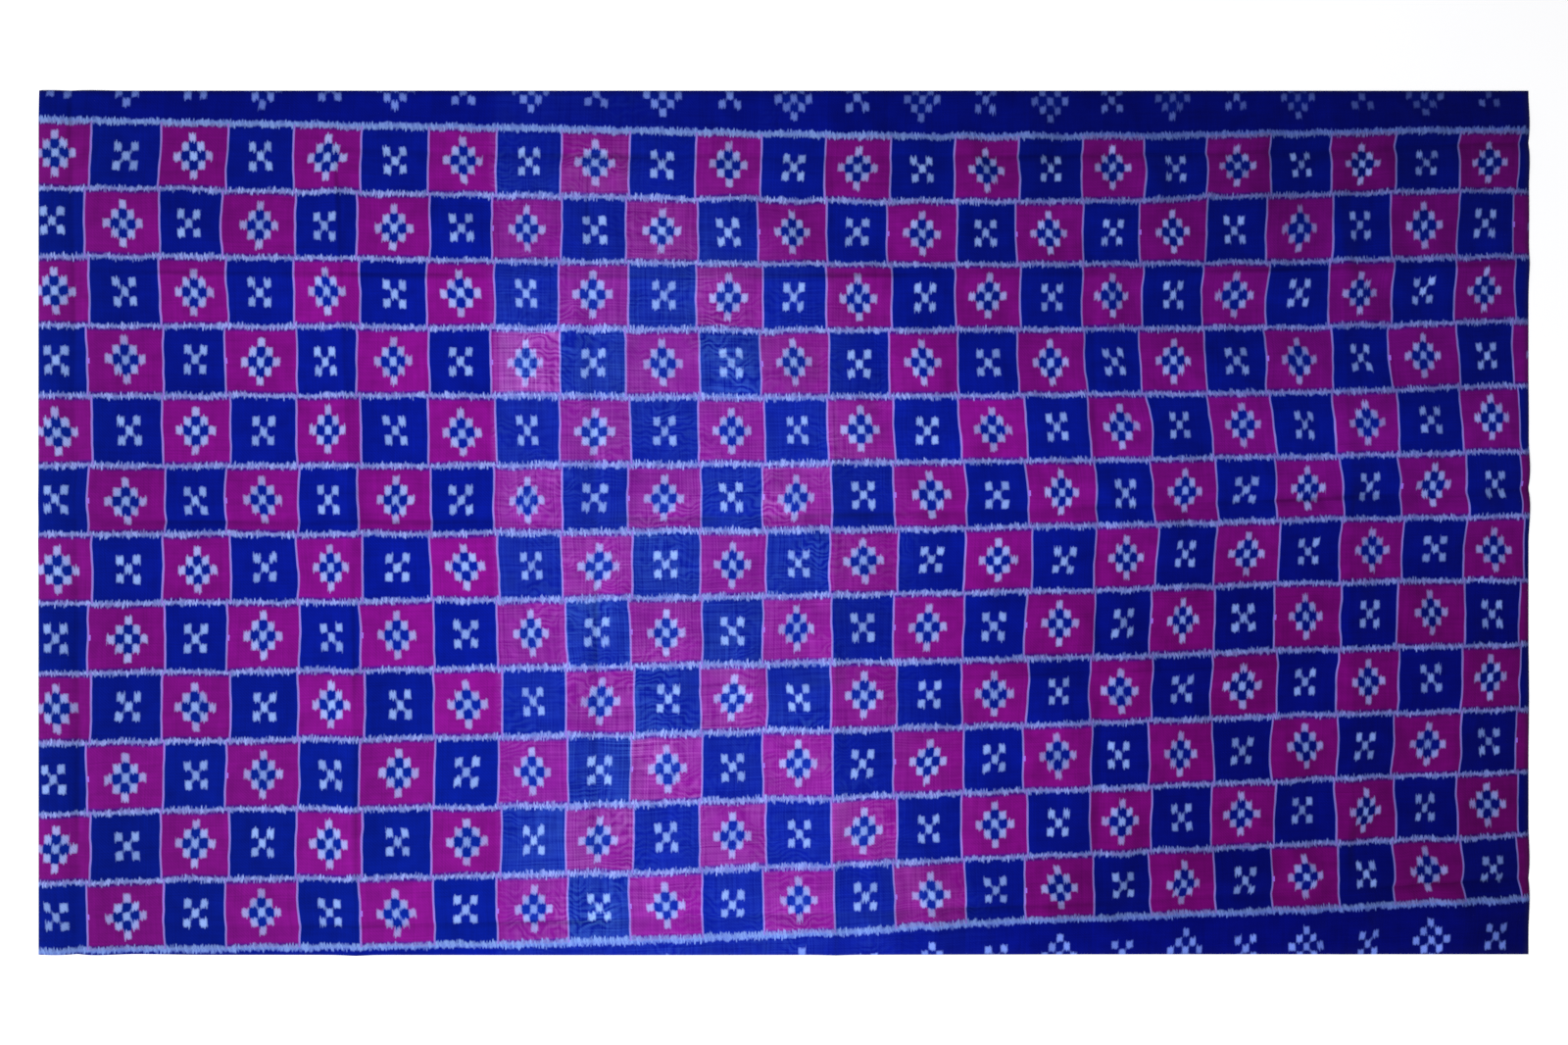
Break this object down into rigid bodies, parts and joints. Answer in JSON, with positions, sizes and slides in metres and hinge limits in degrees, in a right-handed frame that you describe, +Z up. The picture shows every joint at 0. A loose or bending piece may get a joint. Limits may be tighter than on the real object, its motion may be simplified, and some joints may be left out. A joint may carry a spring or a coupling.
{
  "type": "cotton fabric",
  "caption": "Flat cut length of thin woven cotton fabric, lying with low pressed storage folds and slanting wrinkles.",
  "frame": {"origin": "middle of the outline's box, on the surface that the cloth lies on", "axes": "+X along the cut length, +Y towards the far selvedge, +Z up"},
  "size_m": [1.0001, 0.5964, 0.0071],
  "materials": {
    "cloth": "plain-woven cotton, matt, blue and magenta squares with pale ikat motifs"
  },
  "bodies": {
    "root": {"cloth": "cloth"}
  },
  "joints": []
}
